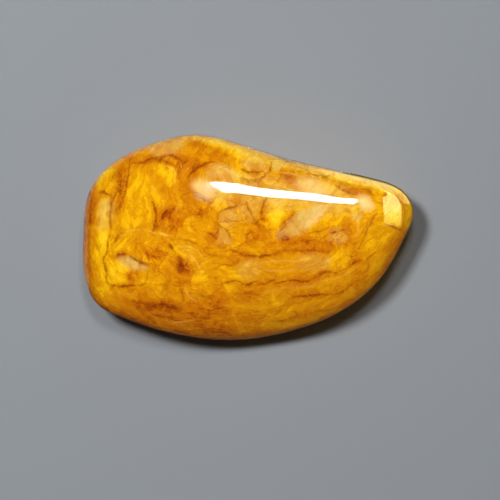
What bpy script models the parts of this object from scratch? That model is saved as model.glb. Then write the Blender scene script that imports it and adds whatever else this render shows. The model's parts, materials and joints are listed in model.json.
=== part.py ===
"""A polished freeform jasper stone, built as one solid at its real size.

The stone's widest line, its girdle, follows a plan outline: a broad rounded end, a nearly
straight long side and a blunt tip. Above the girdle a dome rises to a low crown. Below it
the edge rolls under to the flat base that the stone rests on.

+X points to the tip, +Y to the straight side and +Z up. The origin is on the base, under the
middle of the stone's box. Sizes are in metres.
"""

import math

import bmesh
import bpy
import numpy as np

MM = 0.001

# Heights: the whole stone, and the girdle above the base. The girdle rises towards one side and
# dips in the middle of the curved long side.
THICKNESS = 7.4 * MM
GIRDLE_HEIGHT = 3.3 * MM
GIRDLE_TILT = 0.45 * MM
GIRDLE_HIGH_SIDE = math.radians(125)
GIRDLE_DIP = 1.3 * MM
GIRDLE_DIP_SIDE = math.radians(-86)
GIRDLE_DIP_NARROWNESS = 6

# The plan outline, anticlockwise from the tip, in millimetres along X and Y.
OUTLINE_MM = (
    (14.40, 2.35),
    (13.62, 3.98),
    (11.20, 5.12),
    (7.30, 6.02),
    (2.84, 7.10),
    (-0.86, 8.24),
    (-4.50, 9.00),
    (-8.66, 8.12),
    (-12.00, 6.39),
    (-13.85, 4.10),
    (-14.40, 0.40),
    (-14.20, -3.80),
    (-13.00, -5.95),
    (-11.30, -6.84),
    (-9.00, -7.68),
    (-5.20, -8.62),
    (-1.00, -8.94),
    (3.96, -8.10),
    (8.41, -6.23),
    (11.53, -3.55),
    (13.76, 0.24),
)

# The crown: where the dome is highest, and the ellipse that its level lines start from.
CROWN_X = 1.7 * MM
CROWN_Y = 0.9 * MM
CROWN_LENGTH = 14.9 * MM
CROWN_WIDTH = 8.05 * MM
CROWN_TURN = math.radians(7.5)
CROWN_BLEND = 2.05

# The underside: the ellipse that the flat base fills, and its share of the way to the girdle.
BASE_X = -1.2 * MM
BASE_Y = -0.1 * MM
BASE_LENGTH = 11.4 * MM
BASE_WIDTH = 6.2 * MM
BASE_TURN = math.radians(2)
FLAT_SHARE = 0.68

# The mesh: squares along each edge of the cube that is shaped into the stone.
GRID = 24
OUTLINE_STEPS = 720
PROFILE_STEPS = 400

JASPER_COLOUR = (0.72, 0.33, 0.03, 1.0)
JASPER_ROUGHNESS = 0.08


def closed_spline(points, steps):
    """A smooth closed curve through the points: a periodic cubic spline over the chord lengths."""
    count = len(points)
    chords = np.linalg.norm(np.roll(points, -1, axis=0) - points, axis=1)
    before = np.roll(chords, 1)
    slopes = (np.roll(points, -1, axis=0) - points) / chords[:, None]
    system = np.zeros((count, count))
    for i in range(count):
        system[i, i - 1] = before[i]
        system[i, i] = 2 * (before[i] + chords[i])
        system[i, (i + 1) % count] = chords[i]
    bends = np.linalg.solve(system, 6 * (slopes - np.roll(slopes, 1, axis=0)))
    knots = np.concatenate([[0.0], np.cumsum(chords)])
    along = np.linspace(0.0, knots[-1], steps, endpoint=False)
    span = np.searchsorted(knots, along, side="right") - 1
    after = (span + 1) % count
    width = chords[span][:, None]
    left = (knots[span + 1] - along)[:, None]
    right = (along - knots[span])[:, None]
    curved = (bends[span] * left**3 + bends[after] * right**3) / (6 * width)
    straight = (points[span] / width - bends[span] * width / 6) * left
    return curved + straight + (points[after] / width - bends[after] * width / 6) * right


def girdle_radius(azimuth):
    """Distance from the origin to the plan outline in each direction."""
    outline = closed_spline(np.array(OUTLINE_MM) * MM, OUTLINE_STEPS)
    angles = np.arctan2(outline[:, 1], outline[:, 0])
    order = np.argsort(angles)
    return np.interp(azimuth, angles[order], np.hypot(*outline[order].T), period=2 * math.pi)


def ellipse_radius(azimuth, length, width, turn):
    """Radius of an ellipse of these half sizes in each direction, with its length turned."""
    return 1 / np.hypot(np.cos(azimuth - turn) / length, np.sin(azimuth - turn) / width)


def girdle_height(azimuth):
    """Height of the widest line, with its tilt and its dip."""
    dip = np.maximum(np.cos(azimuth - GIRDLE_DIP_SIDE), 0.0) ** GIRDLE_DIP_NARROWNESS
    return GIRDLE_HEIGHT + GIRDLE_TILT * np.cos(azimuth - GIRDLE_HIGH_SIDE) - GIRDLE_DIP * dip


def profile_angle(share):
    """The dome profile's angle from the crown, so that even shares are even lengths of surface."""
    angle = np.linspace(0.0, math.pi / 2, PROFILE_STEPS)
    out = np.sin(angle) * (CROWN_LENGTH + CROWN_WIDTH) / 2
    up = np.cos(angle) * (THICKNESS - GIRDLE_HEIGHT)
    length = np.concatenate([[0.0], np.cumsum(np.hypot(np.diff(out), np.diff(up)))])
    return np.interp(share, length / length[-1], angle)


def dome(azimuth, share):
    """Points of the upper side: share is 0 at the crown and 1 at the girdle."""
    angle = profile_angle(share)
    reach = np.sin(angle)
    to_outline = reach**CROWN_BLEND
    crown = ellipse_radius(azimuth, CROWN_LENGTH, CROWN_WIDTH, CROWN_TURN)
    radius = reach * ((1 - to_outline) * crown + to_outline * girdle_radius(azimuth))
    x = radius * np.cos(azimuth) + (1 - to_outline) * CROWN_X
    y = radius * np.sin(azimuth) + (1 - to_outline) * CROWN_Y
    base = girdle_height(azimuth)
    return np.column_stack([x, y, base + (THICKNESS - base) * np.cos(angle)])


def underside(azimuth, share):
    """Points of the lower side: flat up to FLAT_SHARE, then rolling up to the girdle."""
    angle = np.clip((share - FLAT_SHARE) / (1 - FLAT_SHARE), 0.0, 1.0) * math.pi / 2
    to_outline = np.sin(angle)
    base = ellipse_radius(azimuth, BASE_LENGTH, BASE_WIDTH, BASE_TURN)
    flat = base * np.minimum(share / FLAT_SHARE, 1.0)
    radius = (1 - to_outline) * flat + to_outline * girdle_radius(azimuth)
    x = radius * np.cos(azimuth) + (1 - to_outline) * BASE_X
    y = radius * np.sin(azimuth) + (1 - to_outline) * BASE_Y
    return np.column_stack([x, y, girdle_height(azimuth) * (1 - np.cos(angle))])


def stone_surface(directions):
    """The stone's surface points for directions from its middle."""
    azimuth = np.arctan2(directions[:, 1], directions[:, 0])
    level = np.hypot(directions[:, 0], directions[:, 1])
    share = np.arctan2(level, np.abs(directions[:, 2])) / (math.pi / 2)
    above = (directions[:, 2] >= 0)[:, None]
    return np.where(above, dome(azimuth, share), underside(azimuth, share))


def stone_mesh(name, grid):
    """A cube divided into even squares, shaped into the stone."""
    cage = bmesh.new()
    bmesh.ops.create_cube(cage, size=2.0)
    bmesh.ops.subdivide_edges(cage, edges=cage.edges[:], cuts=grid - 1, use_grid_fill=True)
    corners = np.array([vertex.co for vertex in cage.verts])
    even = np.tan(corners * math.pi / 4)
    for vertex, place in zip(cage.verts, stone_surface(even)):
        vertex.co = place
    mesh = bpy.data.meshes.new(name)
    cage.to_mesh(mesh)
    cage.free()
    mesh.shade_smooth()
    return mesh


def jasper_material():
    """Polished ochre jasper."""
    material = bpy.data.materials.new("polished_jasper")
    material.use_nodes = True
    shader = material.node_tree.nodes["Principled BSDF"]
    shader.inputs["Base Color"].default_value = JASPER_COLOUR
    shader.inputs["Roughness"].default_value = JASPER_ROUGHNESS
    shader.inputs["Metallic"].default_value = 0.0
    return material


def main():
    for obj in list(bpy.data.objects):
        bpy.data.objects.remove(obj)
    collection = bpy.data.collections.new("jasper")
    bpy.context.scene.collection.children.link(collection)
    stone = bpy.data.objects.new("jasper_stone", stone_mesh("jasper_stone", GRID))
    stone.data.materials.append(jasper_material())
    collection.objects.link(stone)


if __name__ == "__main__":
    main()
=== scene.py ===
"""A polished ochre jasper stone with its seams, threads and clouds, on a plain pale table.

The stone's form repeats the solid's own rule with a finer mesh. Its markings are drawn as short
paths and outlines in the plan, laid onto the surface by Geometry Nodes, and coloured by the
material together with grain, fibres and fragments that run through the whole stone. Some of the
drawn fields are painted light and shade: lighter bands on the rims that face the lights, darker
bands on the rims away from them, pale glows beside the strip highlight and a pale reflection on
the upper rim.
"""

import json
import math

import bmesh
import bpy
import numpy as np
from bpy.props import FloatProperty, FloatVectorProperty, IntProperty, PointerProperty
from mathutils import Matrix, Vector

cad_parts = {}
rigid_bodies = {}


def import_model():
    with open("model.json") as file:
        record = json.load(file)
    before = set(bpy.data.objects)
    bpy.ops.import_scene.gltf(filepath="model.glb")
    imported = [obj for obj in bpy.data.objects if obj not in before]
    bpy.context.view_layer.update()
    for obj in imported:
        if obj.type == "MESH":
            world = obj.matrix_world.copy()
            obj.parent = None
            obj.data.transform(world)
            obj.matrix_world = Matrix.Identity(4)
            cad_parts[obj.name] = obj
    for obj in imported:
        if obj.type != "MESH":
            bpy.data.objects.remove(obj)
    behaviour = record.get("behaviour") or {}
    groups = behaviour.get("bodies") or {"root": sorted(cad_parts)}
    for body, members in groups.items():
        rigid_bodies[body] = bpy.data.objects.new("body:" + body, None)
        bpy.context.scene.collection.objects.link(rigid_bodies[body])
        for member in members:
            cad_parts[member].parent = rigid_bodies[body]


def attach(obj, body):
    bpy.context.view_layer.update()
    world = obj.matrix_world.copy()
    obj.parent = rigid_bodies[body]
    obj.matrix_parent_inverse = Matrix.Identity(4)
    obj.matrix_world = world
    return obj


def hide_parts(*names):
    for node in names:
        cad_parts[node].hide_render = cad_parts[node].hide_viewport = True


bl_info = {
    "name": "Polished jasper stone",
    "version": (1, 0, 0),
    "blender": (4, 5, 0),
    "location": "3D View > Sidebar > Jasper",
    "description": "Makes a polished jasper stone with its markings, and a plain studio around it",
    "category": "Add Mesh",
}

for startup_object in list(bpy.data.objects):
    bpy.data.objects.remove(startup_object)
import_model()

MM = 0.001

# Heights: the whole stone, and the girdle above the base. The girdle rises towards one side and
# dips in the middle of the curved long side.
THICKNESS = 7.4 * MM
GIRDLE_HEIGHT = 3.3 * MM
GIRDLE_TILT = 0.45 * MM
GIRDLE_HIGH_SIDE = math.radians(125)
GIRDLE_DIP = 1.3 * MM
GIRDLE_DIP_SIDE = math.radians(-86)
GIRDLE_DIP_NARROWNESS = 6

# The plan outline, anticlockwise from the tip, in millimetres along X and Y.
OUTLINE_MM = (
    (14.40, 2.35), (13.62, 3.98), (11.20, 5.12), (7.30, 6.02), (2.84, 7.10), (-0.86, 8.24),
    (-4.50, 9.00), (-8.66, 8.12), (-12.00, 6.39), (-13.85, 4.10), (-14.40, 0.40),
    (-14.20, -3.80), (-13.00, -5.95), (-11.30, -6.84), (-9.00, -7.68), (-5.20, -8.62),
    (-1.00, -8.94), (3.96, -8.10), (8.41, -6.23), (11.53, -3.55), (13.76, 0.24),
)

# The crown: where the dome is highest, and the ellipse that its level lines start from.
CROWN_X = 1.7 * MM
CROWN_Y = 0.9 * MM
CROWN_LENGTH = 14.9 * MM
CROWN_WIDTH = 8.05 * MM
CROWN_TURN = math.radians(7.5)
CROWN_BLEND = 2.05

# The underside: the ellipse that the flat base fills, and its share of the way to the girdle.
BASE_X = -1.2 * MM
BASE_Y = -0.1 * MM
BASE_LENGTH = 11.4 * MM
BASE_WIDTH = 6.2 * MM
BASE_TURN = math.radians(2)
FLAT_SHARE = 0.68

OUTLINE_STEPS = 720
PROFILE_STEPS = 400

# The drawn markings, in millimetres, some of the fields among them painted light and shade. Every
# path and outline gives its points' X and Y in turn.
# Dark seams: half width, strength, path.
DARK_SEAMS = (
    # Broad end.
    (0.08, 0.88, (-10.26, 6.81, -10.34, 6.11, -10.43, 5.24, -10.61, 4.37, -10.87, 3.58,
     -11.04, 2.71)),
    (0.12, 0.99, (-11.04, 5.5, -10.96, 4.98, -11.09, 4.37, -11.13, 3.67)),
    # Box contour.
    (0.09, 0.72, (-10.87, 6.29, -11.31, 5.5, -11.22, 4.72, -11.39, 4.02, -11.74, 3.32,
     -11.92, 2.79, -11.96, 1.57, -12.05, 0.52)),
    (0.09, 0.83, (-12.05, 0.52, -12.18, -0.44, -12.31, -1.22, -12.53, -1.75, -12.48, -2.36,
     -12.35, -2.97, -12.27, -3.76, -11.96, -4.15)),
    (0.1, 1, (-12, -4.17, -11.22, -4.14, -10.34, -4.17, -9.65, -4.17)),
    (0.07, 0.55, (-9.65, -4.17, -9.12, -4.02, -8.86, -3.67, -8.69, -2.97)),
    # Broad end.
    (0.09, 0.77, (-11.7, 5.59, -11.87, 5.07)),
    (0.08, 0.94, (-12.88, 3.99, -12.53, 3.95, -12.09, 3.71)),
    (0.2, 0.6, (-11.04, 3.06, -11.31, 2.53, -11.35, 2.1)),
    # Dark cluster.
    (0.09, 0.94, (-8.25, 3.06, -8.03, 2.27, -7.94, 1.75)),
    (0.18, 1, (-7.94, 1.75, -8.03, 1.22, -8.16, 0.7)),
    (0.08, 0.77, (-6.85, 2.53, -7.11, 2.27, -7.46, 1.66, -7.81, 1.4)),
    (0.07, 0.77, (-6.33, 2.71, -6.68, 2.36, -6.94, 2.1)),
    # Upper left.
    (0.11, 0.83, (-10, 6.55, -9.38, 6.51, -8.6, 6.81, -7.9, 6.99, -7.55, 6.99)),
    (0.1, 0.88, (-7.9, 6.94, -7.2, 7.16, -6.68, 7.12, -5.98, 6.81, -5.45, 6.59)),
    (0.16, 0.55, (-8.6, 6.55, -7.72, 6.72, -7.03, 6.55, -6.41, 6.2)),
    # Crown.
    (0.08, 0.94, (-5.19, 5.24, -4.84, 5.68, -4.49, 5.94, -4.14, 6.16, -3.62, 6.46, -2.92, 6.55)),
    (0.06, 0.77, (-4.84, 5.94, -4.58, 6.42)),
    # Upper middle.
    (0.1, 0.88, (-0.56, 5.94, -0.13, 5.72, 0.48, 5.68, 1.18, 5.72)),
    # Above the crown.
    (0.2, 0.77, (-0.48, 5.11, 0.14, 4.89, 1.01, 5.02)),
    # Fragment seam.
    (0.08, 0.88, (1.1, 5.11, 1.53, 5.5, 1.88, 5.81, 1.93, 6.51)),
    # Upper rim.
    (0.16, 0.77, (2.32, 7.07, 3.1, 6.81, 3.8, 6.68, 4.5, 6.59, 5.11, 6.29)),
    (0.08, 0.55, (4.94, 5.85, 5.55, 5.5, 6.25, 5.37)),
    # Upper right.
    (0.12, 0.77, (6.16, 5.5, 6.6, 5.24, 6.95, 5.37)),
    (0.1, 0.72, (7.47, 4.54, 8, 4.15, 8.69, 3.89, 9.48, 3.71)),
    # Near the tip.
    (0.09, 0.83, (9.83, 4.24, 10.35, 4.15, 10.7, 3.76)),
    (0.08, 0.83, (11.75, 1.22, 12.28, 1.05, 12.89, 0.79, 13.41, 0.61)),
    # Tip.
    (0.1, 0.45, (13.32, 3.58, 13.54, 2.71, 13.63, 1.83, 13.41, 0.7)),
    # Near the tip.
    (0.08, 0.77, (11.14, 2.18, 10.7, 1.57, 10.27, 0.61, 9.92, -0.17, 9.57, -0.87)),
    (0.06, 0.55, (10.7, 2.01, 10.27, 1.22, 9.92, 0.44)),
    # Below the crown.
    (0.11, 0.94, (1.53, 3.49, 1.27, 2.79, 1.1, 2.18, 1.01, 1.66, 0.66, 1.22)),
    (0.07, 0.66, (0.92, 1.57, 1.36, 1.57, 1.71, 1.53)),
    (0.07, 0.83, (-0.21, 3.06, 0.09, 2.36, 0.48, 1.62)),
    # Middle.
    (0.09, 0.83, (-2.66, 2.01, -2.14, 2.4, -1.61, 2.62, -1.09, 2.71, -0.74, 3.06)),
    (0.07, 0.77, (-2.66, 1.22, -2.22, 0.87, -1.79, 0.61, -1.52, 0)),
    (0.06, 0.66, (-3.1, 0.17, -2.66, 0.44, -2.4, 0.96)),
    (0.08, 0.66, (-0.21, -0.35, -0.04, 0.26, 0.31, 0.61)),
    (0.07, 0.55, (-3.79, 0.52, -3.18, 0.26, -2.83, -0.09)),
    # Grey band.
    (0.07, 0.66, (4.15, 2.27, 3.54, 1.75, 3.02, 1.4, 3.19, 1.05, 2.67, 0.52, 2.41, 0.17)),
    (0.1, 0.88, (2.84, 0, 3.15, 0.13, 3.45, -0.09, 3.1, -0.17, 2.84, 0)),
    # Right.
    (0.07, 0.66, (5.2, 0.35, 6.07, 0.57, 6.95, 0.87)),
    (0.07, 0.83, (6.42, 0, 7.03, 0.39, 7.65, 0.52, 8.26, 0.74)),
    (0.09, 0.5, (4.5, -0.26, 5.38, -0.22, 6.42, -0.44)),
    # Middle bar.
    (0.12, 1, (-1.52, -1.05, -0.83, -1.31, 0.05, -1.57, 0.83, -1.62, 1.53, -1.57, 2.41, -1.4)),
    (0.09, 0.66, (2.41, -1.4, 3.1, -1.09, 3.8, -1, 4.68, -1.14, 5.72, -1.05, 6.86, -1.14)),
    # Long ripple.
    (0.08, 0.88, (-2.31, -4.02, -1.79, -3.8, -1.09, -3.67, -0.56, -3.93)),
    (0.11, 1, (-0.56, -3.93, -0.04, -4.02, 0.31, -3.93, 0.66, -3.71)),
    (0.08, 0.83, (0.66, -4.02, 1.36, -3.97, 1.88, -3.76, 2.41, -3.58)),
    (0.08, 0.88, (2.32, -3.97, 3.02, -3.8, 3.72, -3.71, 4.41, -3.76, 5.11, -3.76, 5.55, -3.58)),
    (0.11, 0.82, (5.46, -3.62, 5.99, -3.32, 6.42, -3.1, 6.95, -2.93, 7.47, -3.01, 8.08, -2.79)),
    (0.09, 0.7, (8.08, -2.79, 8.61, -2.58, 9.04, -2.27, 9.57, -2.01, 10, -1.88)),
    (0.07, 0.5, (10, -1.88, 10.53, -1.57, 10.97, -1.22)),
    # Dark fleck.
    (0.15, 1, (8.87, -1.62, 9.04, -1.64)),
    # Lower ripple.
    (0.1, 0.94, (3.85, -5.15, 4.5, -5.02, 5.29, -4.95, 5.99, -4.89, 6.69, -4.85)),
    (0.08, 0.66, (7.12, -4.93, 7.82, -4.8, 8.43, -4.5, 8.96, -4.1, 9.57, -3.58)),
    # Right.
    (0.1, 0.44, (10.27, -1.92, 10.4, -2.45, 10.27, -3.06)),
    # Lower middle.
    (0.08, 0.61, (-0.3, -4.72, 0.31, -4.85, 1.01, -4.93)),
    # Bottom.
    (0.08, 0.66, (2.06, -7.25, 2.84, -7.25, 3.63, -7.03, 4.15, -6.9)),
    (0.07, 0.44, (4.76, -6.81, 5.64, -6.46, 6.77, -6.2)),
    (0.07, 0.55, (0.66, -7.25, 1.18, -6.9, 1.71, -6.42)),
    (0.07, 0.44, (2.23, -6.72, 2.84, -6.2, 3.45, -5.68)),
    (0.07, 0.5, (3.8, -6.46, 4.15, -6.42, 4.24, -6.81, 3.89, -6.9)),
    # Lower left.
    (0.14, 0.99, (-11.48, -1.75, -11.31, -1.48, -10.87, -1.35, -10.43, -1.44)),
    (0.12, 0.94, (-10.43, -1.44, -9.91, -1.75, -9.38, -2.1, -8.86, -2.4)),
    (0.09, 0.88, (-8.86, -1.22, -8.73, -1.57, -8.64, -2.01)),
    (0.07, 0.72, (-8.51, -1.48, -8.07, -1.62, -7.55, -1.66)),
    (0.08, 0.66, (-11.44, -0.7, -11.44, -0.09, -11.22, 0.26, -10.78, 0.48)),
    (0.08, 0.55, (-8.34, -2.45, -8.07, -2.88)),
    # Dark grain.
    (0.15, 1, (-6.85, -0.44, -6.68, -0.7, -6.46, -1)),
    (0.08, 0.66, (-6.46, -1, -6.2, -1.4)),
    (0.23, 1, (-6.02, -1.66, -5.8, -2.1, -5.67, -2.53, -5.59, -2.79)),
    # Lower left.
    (0.1, 0.99, (-8.51, -5.98, -7.99, -5.81, -7.38, -5.76, -6.85, -5.98, -6.24, -6.03)),
    (0.08, 0.88, (-8.42, -6.55, -7.72, -6.77, -7.03, -6.9, -6.33, -6.99)),
    (0.16, 0.39, (-7.64, -4.89, -7.2, -4.37, -6.85, -3.76, -6.76, -3.23)),
    # Lower middle.
    (0.14, 0.55, (-4.41, -4.89, -3.79, -5.07, -3.18, -4.98)),
    (0.11, 0.5, (-6.41, -3.76, -5.8, -3.89, -5.19, -3.67)),
    (0.11, 0.55, (-5.98, -4.37, -5.72, -4.89, -5.63, -5.41)),
    # Middle.
    (0.07, 0.55, (-6.07, -0.09, -5.28, -0.26, -4.41, -0.52)),
    (0.06, 0.5, (-3.88, -1.14, -3.36, -1.4, -2.75, -1.57)),
    (0.06, 0.66, (-2.66, -2.45, -2.05, -2.27, -1.52, -2.45, -0.83, -2.1)),
    (0.06, 0.55, (-1.79, -1.75, -1.26, -2.1, -0.74, -1.83)),
    # Upper middle.
    (0.09, 0.66, (-4.58, 2.18, -4.23, 2.01, -3.79, 2.18)),
    # Left rim line.
    (0.11, 0.5, (-13.49, 3.93, -13.71, 2.45, -13.79, 0.7, -13.84, -1.05, -13.75, -2.79,
     -13.4, -4.37)),
)

# Bright threads: the same.
BRIGHT_THREADS = (
    # Bright thread.
    (0.06, 0.45, (-11.13, 0.17, -10.61, 0.52, -9.91, 0.7, -9.21, 0.7, -8.6, 0.57)),
    (0.08, 0.75, (-8.6, 0.57, -7.9, 0.44, -7.2, 0.28, -6.68, 0.09)),
    # Fan.
    (0.09, 0.45, (-6.15, -0.7, -5.28, -0.74, -4.41, -1.14, -3.62, -2.1)),
    (0.08, 0.41, (-5.8, -1.05, -5.1, -1.4, -4.49, -2.01, -4.06, -2.97)),
    (0.07, 0.3, (-5.54, -1.66, -5.02, -2.45, -4.84, -3.41)),
    # Bottom left thread.
    (0.07, 0.52, (-7.2, -7.21, -6.41, -7.29, -5.63, -7.29, -4.58, -7.12)),
    # Lower middle thread.
    (0.1, 0.38, (-5.54, -4.37, -5.1, -5.07, -4.49, -5.5)),
    # Upper patch streak.
    (0.09, 0.45, (-2.48, 6.2, -1.79, 5.81, -1.09, 5.5, -0.56, 5.41)),
    # Bright drop.
    (0.17, 0.68, (-6.15, 2.79, -6.24, 2.36)),
    # Bright arc.
    (0.1, 0.45, (-7.55, 6.38, -6.85, 6.16, -6.37, 5.68, -6.24, 5.07, -6.33, 4.63)),
    # Bright fleck.
    (0.07, 0.34, (-8.42, 4.54, -7.9, 4.02)),
    # Crown light seam.
    (0.1, 0.6, (-0.56, 5.33, 0.14, 5.26, 0.83, 5.28, 1.27, 5.63, 1.62, 5.94)),
    # Fragment light edge.
    (0.09, 0.45, (1.88, 5.72, 2.58, 5.68, 3.45, 5.59, 4.41, 5.37, 5.03, 5.07)),
    # Upper light line.
    (0.12, 0.45, (5.2, 6.07, 6.25, 5.76, 7.21, 5.46, 8.08, 5.15)),
    # Upper flecks.
    (0.06, 0.45, (-5.45, 5.76, -5.1, 6.2)),
    # Upper flecks twin.
    (0.06, 0.45, (-5.89, 6.38, -5.8, 6.03)),
    # Twig light side.
    (0.07, 0.38, (-0.13, 3.41, 0.22, 2.71, 0.66, 2.1)),
    # Grey band streak.
    (0.1, 0.38, (4.41, 0.52, 5.2, 1.31, 5.9, 1.92, 6.69, 2.36)),
    # Pale seam by the tip.
    (0.1, 0.34, (9.22, 0, 9.48, 0.87, 9.39, 1.57)),
    # Thread by the tip.
    (0.05, 0.45, (10.97, 2.01, 10.53, 1.22, 10.18, 0.35)),
    # Right streak one.
    (0.12, 0.3, (1.18, -2.1, 2.41, -2.01, 3.8, -2.05, 5.03, -1.83)),
    # Right streak two.
    (0.11, 0.26, (0.31, -2.97, 1.71, -2.79, 3.1, -2.88, 4.15, -2.71)),
    # Right streak three.
    (0.1, 0.26, (5.9, -3.84, 7.12, -3.58, 8.34, -3.23, 9.39, -2.62)),
    # Right streak four.
    (0.12, 0.22, (1.18, -4.8, 2.76, -4.37, 4.5, -4.24, 6.07, -4.19)),
    # Bottom thread.
    (0.07, 0.26, (-11.39, -4.63, -10.69, -4.89, -10, -4.8)),
    # Small bright patch.
    (0.13, 0.38, (-11.13, -1.83, -10.87, -2.1)),
)

# Golden fields, some along the rims painted light: width of the soft border, strength, outline.
GOLDEN_AND_LIT_FIELDS = (
    # Bright corner.
    (0.22, 0.83, (-7.72, 6.29, -6.94, 6.29, -6.41, 5.76, -6.28, 4.98, -6.76, 4.45, -7.29, 4.72,
     -7.64, 5.41)),
    # Upright glow.
    (0.87, 0.3, (-10.52, 4.02, -9.65, 4.72, -8.6, 4.54, -8.34, 3.32, -9.3, 2.1, -9.73, 0.79,
     -10.43, 0.61, -10.61, 2.27)),
    # Upper left field.
    (0.98, 0.22, (-10, 5.94, -8.07, 6.11, -7.72, 4.89, -6.33, 4.19, -6.15, 3.14, -8.6, 2.62,
     -10, 3.67)),
    # Broad end band: partly the stone's gold, partly painted light on the flank that faces the key
    # light.
    (0.54, 1, (-13.58, 0.87, -12.62, 1.05, -12.53, -1.05, -12.7, -2.97, -12.27, -4.37,
     -12.62, -5.15, -13.4, -4.19, -13.75, -1.92)),
    # Box glow.
    (0.33, 0.78, (-12.09, -2.18, -11.31, -2.1, -10.78, -2.62, -10.69, -3.58, -11.39, -3.93,
     -12.09, -3.84)),
    (0.44, 0.48, (-12, -0.52, -11.48, -0.44, -11.39, -1.05, -12, -1.22)),
    # Below the crown.
    (0.54, 0.74, (1.88, 3.32, 3.8, 3.14, 3.45, 2.1, 2.41, 1.48, 1.71, 2.1)),
    # Right of the grey band.
    (0.66, 0.38, (6.25, 2.62, 8.52, 2.62, 8.78, 1.92, 7.3, 1.22, 5.9, 1.31, 5.2, 0.79,
     5.55, 1.66)),
    # Upper right field.
    (0.87, 0.43, (4.15, 5.94, 5.9, 5.5, 7.3, 4.89, 8.17, 4.02, 6.42, 4.19, 4.5, 4.54)),
    # Middle left field.
    (0.98, 0.22, (-4.23, -2.1, -2.14, -2.01, -0.74, -2.62, -1.09, -3.58, -3.01, -3.84,
     -4.23, -3.49)),
    # Tip field.
    (0.98, 0.5, (11.31, 2.88, 12.89, 1.05, 12.54, -0.7, 11.31, -2.1, 10.44, -2.45, 10, -1.57,
     10.44, -0.17, 11.14, 1.22)),
    # Lower left field.
    (0.66, 0.43, (-8.95, -3.76, -7.9, -3.58, -7.55, -4.45, -8.42, -5.07, -9.21, -4.63)),
    # Fan field.
    (0.66, 0.43, (-6.15, -0.79, -4.41, -0.96, -3.71, -2.01, -4.58, -2.45, -5.45, -1.66)),
    # Right light field.
    (0.54, 0.52, (7.47, -1.22, 8.52, -1.05, 8.96, -1.66, 8.34, -2.27, 7.47, -2.53, 6.95, -2.1)),
    # Upper middle field.
    (0.54, 0.43, (-3.36, 3.67, -1.09, 3.41, -0.91, 2.97, -2.31, 2.62, -3.18, 2.97)),
    # Lower right field.
    (0.87, 0.2, (3.63, -4.1, 6.42, -4.1, 7.12, -4.54, 4.5, -4.72)),
    # Broad end field.
    (0.54, 0.43, (-12.88, 5.41, -11.92, 6.11, -11.57, 5.41, -11.83, 4.19, -12.79, 4.19)),
    # Band by the broad end: partly the stone's gold, partly painted light on the lit flank.
    (0.33, 0.8, (-13.05, 3.14, -12.27, 3.32, -12.09, 1.4, -12.27, -0.17, -13.05, -0.17,
     -13.14, 1.4)),
    # Broad end.
    (0.22, 0.43, (-11.66, 4.19, -11.39, 4.19, -11.48, 1.4, -11.66, -0.7, -11.87, -0.7,
     -11.79, 1.92)),
    # Low rim band.
    (0.44, 0.6, (-13.4, -0.52, -12.88, -0.52, -12.88, -2.97, -12.44, -4.54, -11.04, -5.68,
     -11.39, -6.11, -12.88, -5.07, -13.4, -3.14)),
    # Inner ribbon.
    (0.22, 0.43, (-10.34, 3.67, -10, 3.67, -10.08, 1.05, -10.43, 1.05)),
    # Second inner ribbon.
    (0.22, 0.39, (-9.47, 4.37, -9.21, 4.19, -9.38, 1.4, -9.73, 1.57)),
    # Tip sheen.
    (0.66, 0.26, (9.74, 1.05, 13.06, 0.87, 12.36, -0.52, 10.97, -1.57, 9.92, -1.75)),
    # Above the crown.
    (0.52, 0.43, (-1.09, 5.59, 1.71, 5.07, 4.5, 4.54, 7.12, 4.02, 4.5, 4.1, 1.18, 4.54,
     -0.91, 4.89)),
    # Below the crown.
    (0.52, 0.58, (-3.01, 3.76, 1.18, 3.41, 4.5, 2.97, 9.04, 2.62, 8, 2.18, 4.15, 2.45, 0.66, 2.79,
     -2.66, 3.14)),
    # Upper rim band: painted light along the rim that faces the lights.
    (0.35, 0.85, (-4.58, 8.73, -0.74, 7.86, 2.76, 6.99, 7.12, 5.94, 11.14, 4.72, 13.06, 4.02,
     10.79, 4.19, 7.12, 5.24, 2.93, 6.2, -0.74, 7.07, -3.53, 8.3)),
    # Upper right rim: painted light and painted reflection along the lit rim.
    (0.22, 0.9, (6.42, 6.29, 8.43, 5.85, 9.92, 5.59, 11.49, 5.15, 12.71, 4.63, 13.24, 4.02,
     12.71, 3.84, 11.31, 4.45, 9.74, 4.98, 8.17, 5.33, 6.6, 5.76)),
    # Tip rim: painted light on the tip's rim.
    (0.26, 0.55, (13.5, 4.37, 13.93, 3.58, 14.2, 2.27, 14.02, 1.05, 13.67, 1.05, 13.76, 2.62)),
    # Left of the crown.
    (0.52, 0.52, (-3.18, 3.67, -1.79, 3.58, 1.18, 3.14, 1.18, 2.62, -1.09, 2.71, -3.01, 2.97)),
)
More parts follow.
